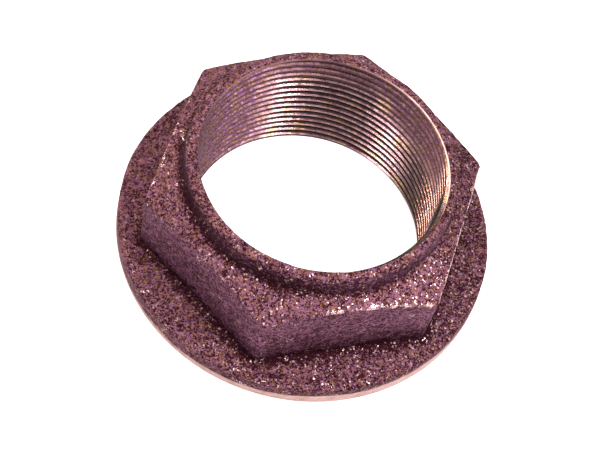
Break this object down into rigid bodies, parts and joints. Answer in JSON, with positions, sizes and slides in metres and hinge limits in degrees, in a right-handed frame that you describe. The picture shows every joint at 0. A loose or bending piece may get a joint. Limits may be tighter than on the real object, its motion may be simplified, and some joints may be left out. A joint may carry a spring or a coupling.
{
  "type": "flanged hex nut",
  "caption": "Low flanged hexagon nut with a large fine-pitch threaded bore, a coned shoulder and a thin raised locking collar.",
  "frame": {"origin": "where the thread's axis meets the flange's bearing face", "axes": "+Z along the thread's axis, from the bearing face to the collar; two wrench flats face +X and -X"},
  "size_m": [0.0644, 0.0644, 0.023],
  "materials": {
    "forged_steel": "as-forged dark phosphate skin, with a bright turned rim and cut thread"
  },
  "bodies": {
    "root": {"flanged_nut": "forged_steel"}
  },
  "joints": []
}
